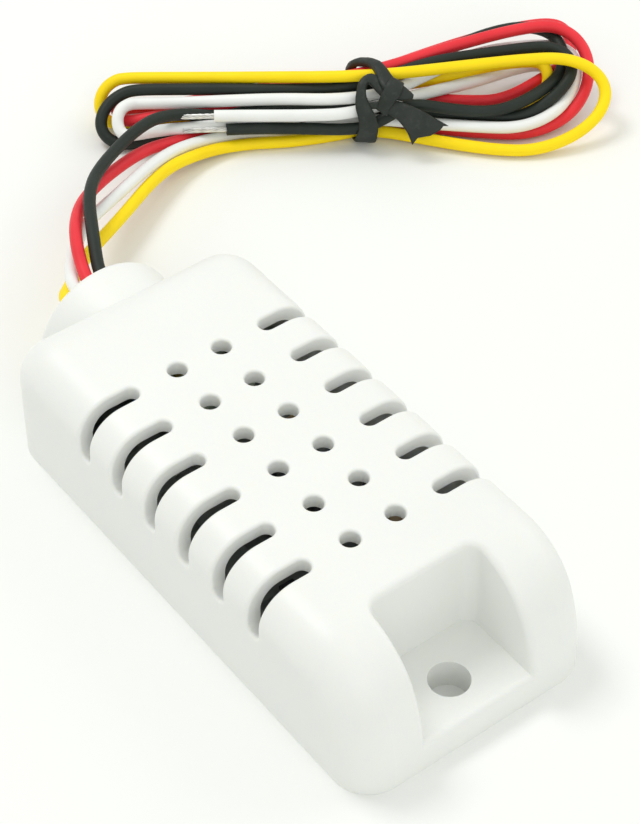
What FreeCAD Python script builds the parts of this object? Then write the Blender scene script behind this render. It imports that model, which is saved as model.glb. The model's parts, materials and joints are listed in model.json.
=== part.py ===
import FreeCAD, Part
import math
import os

# Wired temperature and humidity sensor module, lying on a table. Millimetres.
# The origin is the centre of the casing's underside: +X right, +Y to the cable end, +Z up.

# Casing
casing_width = 26.7
casing_length = 59.6
casing_height = 13.8
wall = 1.6
side_round = 3.8
rear_top_round = 5.2
nose_straight = 1.0
nose_low_radius = 20.0
nose_top_radius = 8.6

# Cable boss on the rear end
boss_radius = 7.6
boss_axis_height = 4.95
boss_projection = 3.65
boss_edge_round = 0.8

# Vents: two columns of round holes and a slot at each end of every row
vent_rows = 6
vent_row_pitch = 5.29
vent_centre_y = -0.92
vent_column_pitch = 5.08
vent_hole_diameter = 1.9
vent_hole_rim = 0.3
slot_width = 1.7
slot_inner_x = 7.0
slot_bottom_z = 8.2
slot_rim = 0.35

# Screw tab and the recess above it
recess_half_width = 6.05
recess_depth = 9.05
recess_corner_round = 1.4
recess_rim = 0.7
tab_thickness = 3.3
screw_hole_diameter = 3.95
screw_hole_inset = 4.45

# Cover plate that closes the underside
cover_thickness = 1.5
lip_wall = 0.9
cover_clearance = 0.1
hook_places = (-9.0, 13.0)
hook_length = 5.0
hook_thickness = 1.0
hook_height = 3.4
hook_bead = 0.35
hook_gap = 0.15
post_diameter = 3.0
post_inset = 2.2
pin_diameter = 1.3
pin_clearance = 0.1

# Circuit board and what is soldered to it
board_thickness = 1.2
board_underside_z = 5.2
board_side_gap = 1.1
board_front_gap = 1.55
board_rear_gap = 4.55
seat_gap = 0.02
chip_length = 8.7
chip_width = 3.9
chip_height = 1.45
chip_place = (0.0, -5.0)
chip_leg_pitch = 1.27
chip_legs_per_side = 7
chip_leg_width = 0.42
chip_leg_span = 6.0
regulator_size = (2.9, 1.6, 1.1)
regulator_place = (-5.6, 8.6)
regulator_leg_width = 0.4
capacitor_size = (2.0, 1.25, 1.1)
capacitor_places = ((-5.6, 4.6), (5.8, 5.4), (5.8, -10.6))
resistor_size = (1.6, 0.8, 0.5)
resistor_places = ((-6.6, -10.4), (-6.6, -12.4), (0.0, 1.6), (2.6, 1.6), (7.2, 0.4))
element_size = (9.6, 6.4, 0.7)
element_place = (0.4, 13.6)
element_height = 1.6
comb_finger_width = 0.35
comb_finger_pitch = 0.8
comb_thickness = 0.08
comb_margin = 0.7
element_leg_width = 0.5
thermistor_diameter = 2.2
thermistor_edge_inset = 3.75
thermistor_y = -5.0
thermistor_height = 2.0
thermistor_leg_diameter = 0.5
thermistor_leg_spacing = 1.2

# The four wires of the cable
wire_diameter = 1.35
wire_pitch = 1.5
first_wire_x = -3.0
wire_exit_z = 8.3
wire_slot_clearance = 0.08
wire_slot_half_width = 3.9
inner_straight = 4.6
inner_drop = 2.8
solder_inset = 2.0
solder_radius = 1.0
glue_clearance = 0.04
glue_length = 2.2
glue_side = 0.9
tinned_length = 4.8
tinned_diameter = 0.6
end_straight = wire_diameter

# The hank lies beside the casing. Its seats are (u, v, w): u along the hank, v across, w up.
hank_centre = (43.87, 42.53)
hank_direction = (0.82097, -0.57098)

# Each wire's seats in order: its start, a pass of the waist, the right loop and the
# left loop twice round, and its free end
hank_seats = {
    "yellow": [
        (-12.0, -4.7, 0.8), (0.0, -3.0, 1.1), (21.6, -5.2, 0.8), (21.6, 4.5, 7.1),
        (0.0, 1.8, 7.8), (-25.8, 8.4, 1.5), (-25.8, -0.6, 0.8), (0.0, 0.6, 1.1),
        (15.0, 2.9, 2.8), (15.0, 8.9, 1.2), (0.0, 1.5, 2.7), (-15.0, 1.5, 2.3),
    ],
    "white": [
        (-13.0, -4.3, 2.2), (0.0, -3.0, 3.5), (20.0, -2.2, 2.5), (20.0, 9.6, 5.1),
        (0.0, -0.1, 6.5), (-25.2, 3.0, 2.6), (-25.2, 0.0, 2.3), (0.0, -0.2, 2.5),
        (17.5, 0.8, 2.3), (17.5, 10.3, 2.5), (0.0, -2.0, 5.1), (-17.5, -0.6, 4.7),
    ],
    "red": [
        (-14.0, -3.3, 0.9), (0.0, -2.0, 2.2), (19.4, -2.9, 0.8), (19.4, 12.1, 4.7),
        (0.0, 3.7, 5.4), (-26.0, 6.0, 0.8), (-26.0, 1.0, 0.8), (0.0, 2.2, 1.1),
        (19.6, 4.7, 0.8), (19.6, 14.0, 2.8), (0.0, 3.4, 3.5), (-14.0, 3.4, 1.9),
    ],
    "black": [
        (-14.0, -1.2, 3.3), (0.0, -1.3, 3.5), (18.4, -0.6, 3.0), (18.4, 10.8, 7.7),
        (0.0, 1.6, 5.0), (-26.4, 4.6, 3.2), (-26.4, -2.1, 1.6), (0.0, -0.9, 1.1),
        (20.2, -0.7, 0.8), (20.2, 8.2, 4.0), (0.0, -3.5, 5.6), (-16.3, -3.0, 2.8),
    ],
}

# Chosen points of each lead between its exit and the hank
lead_points = {
    "yellow": [(-0.5, 36.9, 6.3), (4.4, 40.5, 4.4), (10.8, 42.9, 3.8), (16.7, 46.7, 2.8),
               (22.8, 48.9, 1.4)],
    "white": [(1.2, 37.2, 7.1), (5.6, 41.6, 6.7), (10.9, 44.7, 5.1), (17.4, 48.3, 4.0),
              (24.0, 49.7, 2.7)],
    "red": [(2.2, 37.6, 9.1), (5.9, 43.1, 7.7), (11.2, 47.4, 5.7), (16.7, 50.7, 3.7),
            (22.1, 52.1, 1.8)],
    "black": [(4.5, 37.8, 9.1), (7.5, 43.3, 8.9), (12.0, 47.9, 7.4), (17.5, 51.4, 6.0),
              (23.2, 53.0, 4.4)],
}
lead_first_run = {"yellow": 3.1, "white": 2.6, "red": 2.0, "black": 2.3}
lead_last_run = {"yellow": 3.25, "white": 2.55, "red": 3.55, "black": 3.25}

# Flat tie round the hank's waist
tie_width = 2.2
tie_thickness = 0.27
tie_clearance = 0.12
tie_waist = [(-3.0, 1.1), (2.2, 1.1), (3.4, 3.5), (3.7, 5.4), (1.8, 7.8), (-3.5, 5.6)]
knot_centre = (2.3, -4.3, 6.7)
knot_size = (3.6, 2.2, 2.4)
tail_width = 2.1
tail_thickness = 0.5
tail_points = [
    [(2.6, -4.4, 6.6), (4.4, -6.0, 6.3), (5.3, -7.4, 5.2), (5.4, -8.6, 3.6)],
    [(2.9, -4.3, 6.9), (5.0, -5.2, 7.0), (7.2, -6.1, 6.3), (9.4, -7.0, 5.3)],
]

# Places worked out from the sizes above
front_y = -casing_length / 2
boss_end_y = casing_length / 2
rear_y = boss_end_y - boss_projection
recess_back_y = front_y + recess_depth
screw_hole_y = front_y + screw_hole_inset
board_front_y = recess_back_y + wall + board_front_gap
board_rear_y = rear_y - board_rear_gap
board_top_z = board_underside_z + board_thickness
inner_half_width = casing_width / 2 - wall
board_half_width = inner_half_width - board_side_gap
thermistor_place = (board_half_width - thermistor_edge_inset, thermistor_y)
inner_bend_y = boss_end_y - inner_straight
inner_foot_y = inner_bend_y - inner_drop
solder_y = board_rear_y - solder_inset
wire_radius = wire_diameter / 2
wire_names = ["yellow", "white", "red", "black"]
row_places = [vent_centre_y + (i - (vent_rows - 1) / 2) * vent_row_pitch for i in range(vent_rows)]


def vec(x, y, z=0.0):
    return FreeCAD.Vector(x, y, z)


def box(low, high):
    return Part.makeBox(high[0] - low[0], high[1] - low[1], high[2] - low[2], vec(*low))


def rod(start, radius, length, direction=(0, 0, 1)):
    return Part.makeCylinder(radius, length, vec(*start), vec(*direction))


def rounded_plate(x_half, y_low, y_high, corner, z_low, z_high):
    plate = box((-x_half, y_low, z_low), (x_half, y_high, z_high))
    upright = [e for e in plate.Edges if abs(e.tangentAt(e.FirstParameter).z) > 0.99]
    return plate.makeFillet(corner, upright)


def casing_block(inset, base_z):
    # The casing's rounded outline, drawn in by the inset: a side profile run across the width
    low_radius = nose_low_radius - inset
    top_radius = nose_top_radius - inset
    rear_radius = rear_top_round - inset
    nose_y = front_y + inset
    tail_y = rear_y - inset
    top_z = casing_height - inset
    low_centre = vec(0, front_y + nose_low_radius, nose_straight)
    rise = casing_height - nose_top_radius - nose_straight
    between = nose_low_radius - nose_top_radius
    top_centre = vec(0, low_centre.y - math.sqrt(between ** 2 - rise ** 2), nose_straight + rise)
    along = (top_centre - low_centre).normalize()
    lean = math.atan2(along.z, -along.y)
    half_lean = lean / 2
    low_middle = low_centre + vec(0, -math.cos(half_lean), math.sin(half_lean)) * low_radius
    meet = low_centre + along * low_radius
    to_top = (lean + math.pi / 2) / 2
    top_middle = top_centre + vec(0, -math.cos(to_top), math.sin(to_top)) * top_radius
    top_start = top_centre + vec(0, 0, top_radius)
    rear_centre = vec(0, tail_y - rear_radius, top_z - rear_radius)
    rear_middle = rear_centre + vec(0, 1, 1).normalize() * rear_radius
    base_front = vec(0, nose_y, base_z)
    shoulder = vec(0, nose_y, nose_straight)
    rear_start = rear_centre + vec(0, 0, rear_radius)
    rear_end = rear_centre + vec(0, rear_radius, 0)
    base_rear = vec(0, tail_y, base_z)
    edges = [
        Part.LineSegment(base_front, shoulder).toShape(),
        Part.Arc(shoulder, low_middle, meet).toShape(),
        Part.Arc(meet, top_middle, top_start).toShape(),
        Part.LineSegment(top_start, rear_start).toShape(),
        Part.Arc(rear_start, rear_middle, rear_end).toShape(),
        Part.LineSegment(rear_end, base_rear).toShape(),
        Part.LineSegment(base_rear, base_front).toShape(),
    ]
    width = casing_width - 2 * inset
    face = Part.Face(Part.Wire(edges))
    face.translate(vec(-width / 2, 0, 0))
    block = face.extrude(vec(width, 0, 0))
    rounded = []
    for edge in block.Edges:
        bounds = edge.BoundBox
        on_side = bounds.XLength < 1e-6
        if on_side and bounds.ZMax > base_z + 1e-6:
            rounded.append(edge)
    return block.makeFillet(side_round - inset, rounded)


def boss_block(inset, y_start, y_end, base_z):
    # Half barrel with upright sides, along Y
    radius = boss_radius - inset
    length = y_end - y_start
    barrel = rod((0, y_start, boss_axis_height), radius, length, (0, 1, 0))
    sides = box((-radius, y_start, base_z), (radius, y_end, boss_axis_height))
    above = box((-radius, y_start, base_z), (radius, y_end, boss_axis_height + radius))
    return barrel.common(above).fuse(sides).removeSplitter()


def hole_cutters():
    start_z = casing_height - 2 * wall
    return [rod((side * vent_column_pitch / 2, y, start_z), vent_hole_diameter / 2, 2 * wall + 1.0)
            for y in row_places for side in (-1, 1)]


def slot_cutters():
    # Each slot starts round in the top and ends round in the side
    top = casing_height + 1.0
    radius = slot_width / 2
    inner_x = slot_inner_x + radius
    end_x = casing_width / 2 + 1.0
    end_z = slot_bottom_z + radius
    cutters = []
    for y in row_places:
        for side in (-1, 1):
            low_x, high_x = sorted((side * inner_x, side * end_x))
            cutters.append(box((low_x, y - radius, end_z), (high_x, y + radius, top)))
            cutters.append(rod((side * inner_x, y, end_z), radius, top - end_z))
            cutters.append(rod((low_x, y, end_z), radius, end_x - inner_x, (1, 0, 0)))
    return cutters


def edges_on_skin(shape, skin, low, high):
    # Edges inside a box whose middles lie on the skin
    found = []
    for edge in shape.Edges:
        bounds = edge.BoundBox
        corners = zip(low, high, (bounds.XMin, bounds.YMin, bounds.ZMin),
                      (bounds.XMax, bounds.YMax, bounds.ZMax))
        if all(a <= c and d <= b for a, b, c, d in corners):
            middle = edge.valueAt((edge.FirstParameter + edge.LastParameter) / 2)
            if skin.distToShape(Part.Vertex(middle))[0] < 1e-4:
                found.append(edge)
    return found


def round_rims(shell, skin):
    # The rims of the holes, the slots and the recess, each kind with its own radius
    top = casing_height + 0.1
    end_x = casing_width / 2 + 0.1
    hole_x = slot_inner_x - slot_rim
    half_slot = slot_width / 2 + 0.1
    rims = edges_on_skin(shell, skin, (-hole_x, row_places[0] - slot_width, slot_bottom_z),
                         (hole_x, row_places[-1] + slot_width, top))
    shell = shell.makeFillet(vent_hole_rim, rims)
    for side in (-1, 1):
        low_x, high_x = sorted((side * hole_x, side * end_x))
        for y in row_places:
            rims = edges_on_skin(shell, skin, (low_x, y - half_slot, slot_bottom_z - 0.1),
                                 (high_x, y + half_slot, top))
            shell = shell.makeFillet(slot_rim, rims)
    half = recess_half_width + 0.1
    rims = edges_on_skin(shell, skin, (-half, front_y - 0.1, tab_thickness - 0.1),
                         (half, recess_back_y + 0.1, top))
    return shell.makeFillet(recess_rim, rims)


def recess_cutter():
    low_y = front_y - 1.0
    top = casing_height + 1.0
    pocket = box((-recess_half_width, low_y, tab_thickness), (recess_half_width, recess_back_y, top))
    corners = []
    for edge in pocket.Edges:
        upright = abs(edge.tangentAt(edge.FirstParameter).z) > 0.99
        if upright and edge.BoundBox.YMin > recess_back_y - 0.01:
            corners.append(edge)
    return pocket.makeFillet(recess_corner_round, corners)


def tab_guard(grow):
    # Space held by the screw tab and the walls of its recess, seen from below
    half = recess_half_width + wall - grow
    return box((-half, front_y - 1.0, -1.0), (half, recess_back_y + wall - grow, casing_height + 1.0))


def hook_box(side, y, grow):
    outer = inner_half_width - hook_gap
    xs = sorted((side * (outer + grow), side * (outer - hook_thickness)))
    half = hook_length / 2
    return box((xs[0], y - half, cover_thickness), (xs[1], y + half, cover_thickness + hook_height))


def hook_bead_rod(side, y, radius, spare):
    x = side * (inner_half_width - hook_gap)
    z = cover_thickness + hook_height - 0.9
    half = hook_length / 2 + spare
    return rod((x, y - half, z), radius, 2 * half, (0, 1, 0))


def post_places():
    # Two posts near the board's front corners and two behind the vents
    x = board_half_width - post_inset
    return [(side * x, y) for y in (board_front_y + post_inset, board_rear_y - 2.6 * post_inset)
            for side in (-1, 1)]


def make_top_shell():
    shell = casing_block(0.0, 0.0)
    boss = boss_block(0.0, rear_y - rear_top_round - 0.4, boss_end_y, 0.0)
    end_rim = [e for e in boss.Edges if e.BoundBox.YMin > boss_end_y - 1e-6 and e.BoundBox.ZMax > 0.01]
    boss = boss.makeFillet(boss_edge_round, end_rim)
    shell = shell.fuse(boss).removeSplitter()
    cavity = casing_block(wall, -1.0).cut(tab_guard(0.0))
    shell = shell.cut(cavity)
    channel = boss_block(wall, rear_y - wall - 0.5, boss_end_y - wall, wall)
    shell = shell.cut(channel)
    seat = rounded_plate(casing_width / 2 - lip_wall, front_y + lip_wall, rear_y - lip_wall,
                         side_round - lip_wall, -1.0, cover_thickness)
    shell = shell.cut(seat.cut(tab_guard(wall - lip_wall)))
    shell = shell.cut(recess_cutter())
    shell = shell.cut(rod((0, screw_hole_y, -1.0), screw_hole_diameter / 2, tab_thickness + 2.0))
    for cutter in hole_cutters() + slot_cutters():
        shell = shell.cut(cutter)
    shell = round_rims(shell, casing_block(0.0, 0.0))
    for y in hook_places:
        for side in (-1, 1):
            shell = shell.cut(hook_bead_rod(side, y, hook_bead + 2 * hook_gap, 0.3))
    slot_half_height = wire_radius + wire_slot_clearance
    slot = box((-wire_slot_half_width, boss_end_y - wall - 0.5, wire_exit_z - slot_half_height),
               (wire_slot_half_width, boss_end_y + 0.5, wire_exit_z + slot_half_height))
    return shell.cut(slot)


def make_back_cover():
    gap = lip_wall + cover_clearance
    cover = rounded_plate(casing_width / 2 - gap, front_y + gap, rear_y - gap, side_round - gap,
                          0.0, cover_thickness - seat_gap)
    cover = cover.cut(tab_guard(wall - lip_wall - cover_clearance))
    for y in hook_places:
        for side in (-1, 1):
            hook = hook_box(side, y, 0.0)
            hook = hook.fuse(hook_bead_rod(side, y, hook_bead, 0.0))
            foot = hook_box(side, y, 0.0)
            foot.translate(vec(0, 0, -seat_gap - 0.5))
            cover = cover.fuse(hook).fuse(foot)
    for x, y in post_places():
        top = board_underside_z - seat_gap
        cover = cover.fuse(rod((x, y, cover_thickness - 0.5), post_diameter / 2,
                               top - cover_thickness + 0.5))
        cover = cover.fuse(rod((x, y, top - 0.2), pin_diameter / 2, board_thickness + 0.7))
    return cover.removeSplitter()


def make_circuit_board():
    board = rounded_plate(board_half_width, board_front_y, board_rear_y, 1.0, board_underside_z, board_top_z)
    for x, y in post_places():
        board = board.cut(rod((x, y, board_underside_z - 1.0), pin_diameter / 2 + pin_clearance,
                              board_thickness + 2.0))
    return board


def chip_body(size, place, edge_round=0.12):
    x, y = place
    low = (x - size[0] / 2, y - size[1] / 2, board_top_z + seat_gap)
    high = (x + size[0] / 2, y + size[1] / 2, board_top_z + size[2])
    body = box(low, high)
    return body.makeFillet(edge_round, body.Edges)


def gull_leg(x, y_body, y_foot, width, rise):
    # One bent leg from a chip's side down to its pad
    step = 0.22 if y_foot > y_body else -0.22
    z_low = board_top_z + 0.01
    half = width / 2
    knee = y_body + (y_foot - y_body) * 0.4
    points = [
        vec(x - half, y_body, z_low + rise), vec(x - half, knee, z_low + rise),
        vec(x - half, knee + step, z_low), vec(x - half, y_foot, z_low),
        vec(x - half, y_foot, z_low + 0.2), vec(x - half, knee + 2 * step, z_low + 0.2),
        vec(x - half, knee + step, z_low + rise + 0.2), vec(x - half, y_body, z_low + rise + 0.2),
    ]
    return Part.Face(Part.makePolygon(points + points[:1])).extrude(vec(width, 0, 0))


def make_microcontroller():
    return chip_body((chip_length, chip_width, chip_height), chip_place, 0.18)


def make_microcontroller_legs():
    legs = []
    first = chip_place[0] - (chip_legs_per_side - 1) / 2 * chip_leg_pitch
    for i in range(chip_legs_per_side):
        for side in (-1, 1):
            legs.append(gull_leg(first + i * chip_leg_pitch, chip_place[1] + side * chip_width / 2,
                                 chip_place[1] + side * chip_leg_span / 2, chip_leg_width, 0.55))
    return Part.Compound(legs)


def make_voltage_regulator():
    return chip_body(regulator_size, regulator_place)


def make_regulator_legs():
    x, y = regulator_place
    reach = regulator_size[1] / 2
    spots = [(x - 0.95, -1), (x + 0.95, -1), (x, 1)]
    return Part.Compound([gull_leg(sx, y + side * reach, y + side * (reach + 0.8),
                                   regulator_leg_width, 0.4) for sx, side in spots])


def make_chips(size, places):
    return Part.Compound([chip_body(size, place, 0.08) for place in places])


def make_humidity_element():
    x, y = element_place
    z = board_top_z + element_height
    plate = box((x - element_size[0] / 2, y - element_size[1] / 2, z),
                (x + element_size[0] / 2, y + element_size[1] / 2, z + element_size[2]))
    upright = [e for e in plate.Edges if abs(e.tangentAt(e.FirstParameter).z) > 0.99]
    return plate.makeFillet(0.5, upright)


def make_sensing_electrodes():
    # Two combs whose fingers lie between each other on top of the element
    x, y = element_place
    z = board_top_z + element_height + element_size[2]
    x_low = x - element_size[0] / 2 + comb_margin
    x_high = x + element_size[0] / 2 - comb_margin
    y_low = y - element_size[1] / 2 + comb_margin
    y_high = y + element_size[1] / 2 - comb_margin
    top = z + comb_thickness
    combs = []
    for side in (0, 1):
        spine_low = y_low if side == 0 else y_high - comb_finger_width
        comb = box((x_low, spine_low, z), (x_high, spine_low + comb_finger_width, top))
        count = int((x_high - x_low) / comb_finger_pitch)
        for i in range(side, count + 1, 2):
            left = x_low + i * comb_finger_pitch
            right = min(left + comb_finger_width, x_high)
            near = y_low if side == 0 else y_low + 2 * comb_finger_width
            far = y_high - 2 * comb_finger_width if side == 0 else y_high
            comb = comb.fuse(box((left, near, z), (right, far, top)))
        combs.append(comb.removeSplitter())
    return Part.Compound(combs)


def make_humidity_element_legs():
    x, y = element_place
    legs = []
    for side in (-1, 1):
        leg_x = x + side * element_size[0] / 2 * 0.6
        low_y = y - element_size[1] / 2 + 0.3
        legs.append(box((leg_x - element_leg_width / 2, low_y, board_top_z + 0.01),
                        (leg_x + element_leg_width / 2, low_y + element_leg_width,
                         board_top_z + element_height)))
    return Part.Compound(legs)


def make_thermistor():
    x, y = thermistor_place
    bead = Part.makeSphere(thermistor_diameter / 2, vec(x, y, board_top_z + thermistor_height))
    flat = board_top_z + thermistor_height - thermistor_diameter / 2 + 0.3
    reach = thermistor_diameter
    return bead.common(box((x - reach, y - reach, flat), (x + reach, y + reach, flat + 2 * reach)))


def make_thermistor_legs():
    x, y = thermistor_place
    flat = board_top_z + thermistor_height - thermistor_diameter / 2 + 0.3
    return Part.Compound([
        rod((x + side * thermistor_leg_spacing / 2, y, board_top_z + 0.01),
            thermistor_leg_diameter / 2, flat - board_top_z - 0.01) for side in (-1, 1)])


def wire_x(name):
    return first_wire_x + wire_names.index(name) * wire_pitch


def tangent_route(points):
    # Straight runs joined by arcs, each as large as its two runs allow
    edges = []
    radii = []
    start = points[0]
    for i in range(1, len(points) - 1):
        back = points[i - 1] - points[i]
        ahead = points[i + 1] - points[i]
        reach = 0.45 * min(back.Length, ahead.Length)
        turn = math.pi - back.getAngle(ahead)
        radius = reach / math.tan(turn / 2)
        back.normalize()
        ahead.normalize()
        middle_way = (back + ahead).normalize()
        arc_start = points[i] + back * reach
        arc_end = points[i] + ahead * reach
        top = points[i] + middle_way * (radius / math.cos(turn / 2) - radius)
        edges.append(Part.LineSegment(start, arc_start).toShape())
        edges.append(Part.Arc(arc_start, top, arc_end).toShape())
        radii.append(radius)
        start = arc_end
    edges.append(Part.LineSegment(start, points[-1]).toShape())
    return edges, radii


def tube(edges, diameter):
    path = Part.Wire(edges)
    start = path.Edges[0].valueAt(path.Edges[0].FirstParameter)
    direction = path.Edges[0].tangentAt(path.Edges[0].FirstParameter)
    ring = Part.Wire([Part.Circle(start, direction, diameter / 2).toShape()])
    solid = path.makePipeShell([ring], True, False)
    expected = math.pi * diameter ** 2 / 4 * path.Length
    return solid, path.Length, solid.Volume / expected


def hank_point(seat):
    ux, uy = hank_direction
    x = hank_centre[0] + seat[0] * ux - seat[1] * uy
    y = hank_centre[1] + seat[0] * uy + seat[1] * ux
    return vec(x, y, seat[2])


def along_hank(seat, step):
    return (seat[0] + step, seat[1], seat[2])


def climb(a, b):
    # Two equal arcs from a to b that leave and arrive along the hank
    sign = 1.0 if b[0] > a[0] else -1.0
    run = abs(b[0] - a[0])
    across = (b[1] - a[1], b[2] - a[2])
    shift = math.hypot(*across)
    radius = (run ** 2 + shift ** 2) / (4 * shift)
    half_angle = math.asin(run / 2 / radius) / 2
    unit = (across[0] / shift, across[1] / shift)

    def on_arc(origin, way):
        forward = way * sign * radius * math.sin(half_angle)
        side = way * radius * (1 - math.cos(half_angle))
        return hank_point((origin[0] + forward, origin[1] + side * unit[0], origin[2] + side * unit[1]))

    middle = hank_point(tuple((p + q) / 2 for p, q in zip(a, b)))
    first = Part.Arc(hank_point(a), on_arc(a, 1.0), middle).toShape()
    second = Part.Arc(middle, on_arc(b, -1.0), hank_point(b)).toShape()
    return [first, second]


def loop_end(a, b):
    # Half turn from a to b, two quarter arcs, bulging away from the waist
    sign = 1.0 if a[0] > 0 else -1.0
    centre = tuple((p + q) / 2 for p, q in zip(a, b))
    radius = math.hypot(b[1] - a[1], b[2] - a[2]) / 2
    tip = along_hank(centre, sign * radius)
    part = math.sqrt(0.5)
    arcs = []
    for end, order in ((a, 1), (b, -1)):
        lean = (centre[0] + sign * radius * part, centre[1] + (end[1] - centre[1]) * part,
                centre[2] + (end[2] - centre[2]) * part)
        ends = (hank_point(end), hank_point(tip))[::order]
        arcs.append(Part.Arc(ends[0], hank_point(lean), ends[1]).toShape())
    return arcs


def hank_edges(seats):
    start = seats[0]
    end = seats[-1]
    edges = [Part.LineSegment(hank_point(along_hank(start, -end_straight)), hank_point(start)).toShape()]
    for a, b in zip(seats, seats[1:]):
        edges += loop_end(a, b) if a[0] == b[0] else climb(a, b)
    edges.append(Part.LineSegment(hank_point(end), hank_point(along_hank(end, -end_straight))).toShape())
    return edges


def least_gap_to_itself(edges, diameter):
    points = []
    travelled = 0.0
    for edge in edges:
        steps = max(2, int(edge.Length / 0.5))
        span = edge.LastParameter - edge.FirstParameter
        for i in range(steps):
            points.append((travelled + edge.Length * i / steps,
                           edge.valueAt(edge.FirstParameter + span * i / steps)))
        travelled += edge.Length
    least = travelled
    for i, (s, p) in enumerate(points):
        for t, q in points[i + 1:]:
            if t - s > 4.5 * diameter:
                least = min(least, p.distanceToPoint(q))
    return least - diameter


def make_hank(name):
    edges = hank_edges(hank_seats[name])
    solid, length, fill = tube(edges, wire_diameter)
    gap = least_gap_to_itself(edges, wire_diameter)
    print("hank", name, "length %.1f" % length, "volume ratio %.4f" % fill, "least gap %.2f" % gap)
    return solid


def lead_route(name):
    x = wire_x(name)
    start = vec(x, boss_end_y, wire_exit_z)
    first_seat = along_hank(hank_seats[name][0], -end_straight)
    points = [start, start + vec(0, lead_first_run[name], 0)]
    points += [vec(*p) for p in lead_points[name]]
    points.append(hank_point(along_hank(first_seat, -lead_last_run[name])))
    points.append(hank_point(first_seat))
    return points


def make_lead(name):
    edges, radii = tangent_route(lead_route(name))
    solid, length, fill = tube(edges, wire_diameter)
    print("lead", name, "length %.1f" % length, "volume ratio %.4f" % fill,
          "radii", ["%.1f" % r for r in radii])
    return solid


def inner_route(name):
    x = wire_x(name)
    foot_z = board_top_z + wire_radius + seat_gap
    foot_end = solder_y + 0.5 * solder_radius
    return [vec(x, boss_end_y, wire_exit_z), vec(x, inner_bend_y, wire_exit_z),
            vec(x, inner_foot_y, foot_z), vec(x, foot_end, foot_z)]


def make_inner_wire(name):
    edges, radii = tangent_route(inner_route(name))
    return tube(edges, wire_diameter)[0]


def make_tinned_end(name):
    seat = along_hank(hank_seats[name][-1], -end_straight)
    start = hank_point(seat)
    way = (hank_point(along_hank(seat, -1.0)) - start).normalize()
    pin = Part.makeCylinder(tinned_diameter / 2, tinned_length, start, way)
    tip = [e for e in pin.Edges if e.Closed and e.CenterOfMass.distanceToPoint(start) > tinned_length / 2]
    return pin.makeFillet(tinned_diameter / 4, tip)


def make_solder_joints():
    joints = []
    for name in wire_names:
        x = wire_x(name)
        end = solder_y + 0.5 * solder_radius
        ball = Part.makeSphere(solder_radius, vec(x, solder_y, board_top_z + 0.1))
        half = wire_pitch / 2 - 0.08
        keep = box((x - half, solder_y - 2 * solder_radius, board_top_z + 0.01),
                   (x + half, end, board_top_z + 2 * solder_radius))
        joints.append(ball.common(keep))
    return Part.Compound(joints)


def make_strain_relief_glue():
    low_x = first_wire_x - wire_radius - glue_side
    high_x = first_wire_x + (len(wire_names) - 1) * wire_pitch + wire_radius + glue_side
    y_end = boss_end_y - wall - seat_gap
    glue = box((low_x, y_end - glue_length, wire_exit_z - wire_radius - glue_side),
               (high_x, y_end, wire_exit_z + wire_radius + 0.5))
    rims = [e for e in glue.Edges if abs(e.tangentAt(e.FirstParameter).y) > 0.99]
    glue = glue.makeFillet(0.4, rims)
    channel = boss_block(wall + glue_clearance, rear_y - wall - 1.0, boss_end_y, wall)
    glue = glue.common(channel)
    for name in wire_names:
        glue = glue.cut(rod((wire_x(name), y_end - glue_length - 1.0, wire_exit_z),
                            wire_radius + glue_clearance, glue_length + 2.0, (0, 1, 0)))
    return glue


def band_outline(offset):
    # Closed line round the waist seats, at one distance from their hull
    edges = []
    count = len(tie_waist)
    corners = []
    for i in range(count):
        a = tie_waist[i]
        b = tie_waist[(i + 1) % count]
        length = math.hypot(b[0] - a[0], b[1] - a[1])
        normal = ((b[1] - a[1]) / length, -(b[0] - a[0]) / length)
        corners.append(((a[0] + normal[0] * offset, a[1] + normal[1] * offset),
                        (b[0] + normal[0] * offset, b[1] + normal[1] * offset), normal))
    for i in range(count):
        start, end, normal = corners[i]
        after, unused, next_normal = corners[(i + 1) % count]
        way = vec(normal[0] + next_normal[0], normal[1] + next_normal[1]).normalize()
        seat = tie_waist[(i + 1) % count]
        middle = (seat[0] + way.x * offset, seat[1] + way.y * offset)
        u = -tie_width / 2
        edges.append(Part.LineSegment(hank_point((u, *start)), hank_point((u, *end))).toShape())
        edges.append(Part.Arc(hank_point((u, *end)), hank_point((u, *middle)),
                              hank_point((u, *after))).toShape())
    return Part.Face(Part.Wire(edges))


def tail_strip(points):
    # Flat strip through the points, with a rectangle square to the way at each
    places = [hank_point(p) for p in points]
    rings = []
    for i, place in enumerate(places):
        way = places[min(i + 1, len(places) - 1)] - places[max(i - 1, 0)]
        way.normalize()
        side = way.cross(vec(0, 0, 1)).normalize() * (tail_width / 2)
        up = side.cross(way).normalize() * (tail_thickness / 2)
        ring = [place - side - up, place + side - up, place + side + up, place - side + up]
        rings.append(Part.makePolygon(ring + ring[:1]))
    return Part.makeLoft(rings, True, True)


def make_twist_tie():
    inner = wire_radius + tie_clearance
    way = vec(hank_direction[0], hank_direction[1]) * tie_width
    band = band_outline(inner + tie_thickness).extrude(way)
    hole = band_outline(inner).extrude(way)
    knot = Part.makeSphere(1.0, vec(0, 0, 0))
    stretch = FreeCAD.Matrix()
    stretch.scale(knot_size[0] / 2, knot_size[1] / 2, knot_size[2] / 2)
    knot = knot.transformGeometry(stretch)
    angle = math.degrees(math.atan2(hank_direction[1], hank_direction[0]))
    knot.rotate(vec(0, 0, 0), vec(0, 0, 1), angle)
    knot.translate(hank_point(knot_centre))
    tie = band.fuse(knot)
    for points in tail_points:
        tie = tie.fuse(tail_strip(points))
    return tie.cut(hole).removeSplitter()


def save(name, shape):
    shape.exportStep("parts/%s.step" % name)
    print(name, "solids", len(shape.Solids), "valid", shape.isValid(), "volume %.2f" % shape.Volume)


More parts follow.
